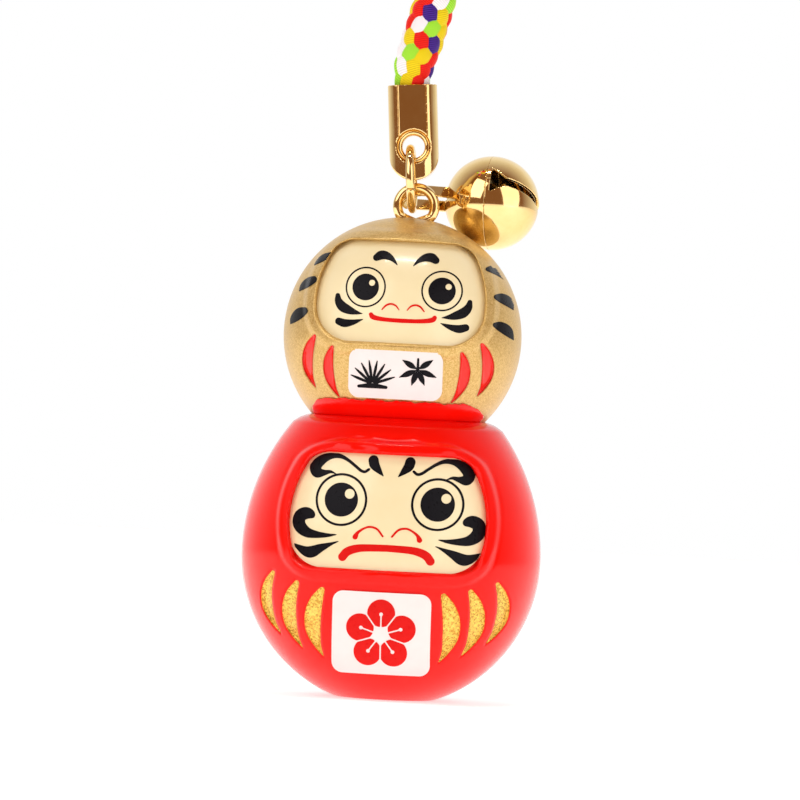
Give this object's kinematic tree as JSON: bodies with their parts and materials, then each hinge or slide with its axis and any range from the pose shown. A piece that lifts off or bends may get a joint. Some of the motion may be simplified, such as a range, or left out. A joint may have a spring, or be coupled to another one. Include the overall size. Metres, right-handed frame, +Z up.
{
  "type": "daruma charm strap",
  "caption": "Hanging charm of a gold daruma stacked on a red daruma, with a screw eye, jump ring, round bell, crimped cord end and a braided strap with a hanging loop.",
  "frame": {"origin": "centre of the lower doll's flat base", "axes": "+Z up along the doll's axis; the two faces look along -Y; +X is the side the bell hangs on"},
  "size_m": [0.0284, 0.0287, 0.1308],
  "materials": {
    "red_gloss": "thick glossy lacquer",
    "gold_paint": "satin metallic paint",
    "cream_enamel": "smooth enamel",
    "white_enamel": "smooth enamel",
    "gold_fill": "grainy gold paint",
    "red_fill": "red paint fill",
    "gold_plate": "polished gold plating",
    "clapper_steel": "plain steel ball",
    "braid": "five-colour silk-like braid",
    "thin_cord": "thin red cord"
  },
  "bodies": {
    "strap": {"ferrule": "gold_plate", "braid_cord": "braid", "cord_whipping": "thin_cord", "loop_cord": "thin_cord"},
    "ring": {"jump_ring": "gold_plate"},
    "doll": {"lower_body": "red_gloss", "upper_body": "gold_paint", "lower_face": "cream_enamel", "upper_face": "cream_enamel", "lower_plaque": "white_enamel", "upper_plaque": "white_enamel", "lower_stripes_left": "gold_fill", "lower_stripes_right": "gold_fill", "upper_stripes_left": "red_fill", "upper_stripes_right": "red_fill", "screw_eye": "gold_plate"},
    "bell": {"bell_upper_jaw": "gold_plate", "bell_lower_jaw": "gold_plate", "bell_back_half": "gold_plate", "bell_lug": "gold_plate"},
    "clapper": {"bell_clapper": "clapper_steel"}
  },
  "joints": [
    {"name": "ring_swing", "type": "hinge", "parent": "strap", "child": "ring", "pos_m": [-0.00016, 0, 0.05225], "axis": [0, 1, 0], "range_deg": [-25, 25]},
    {"name": "doll_swing", "type": "hinge", "parent": "ring", "child": "doll", "pos_m": [0.00029, 0, 0.04651], "axis": [1, 0, 0], "range_deg": [-8, 0]},
    {"name": "bell_swing", "type": "hinge", "parent": "ring", "child": "bell", "pos_m": [0.00019, 0.00236, 0.04774], "axis": [0.0643, -0.5736, -0.8166], "range_deg": [0, 20]},
    {"name": "clapper_travel", "type": "slide", "parent": "bell", "child": "clapper", "axis": [0, 0, 1], "range_m": [0, 0.0052]}
  ]
}
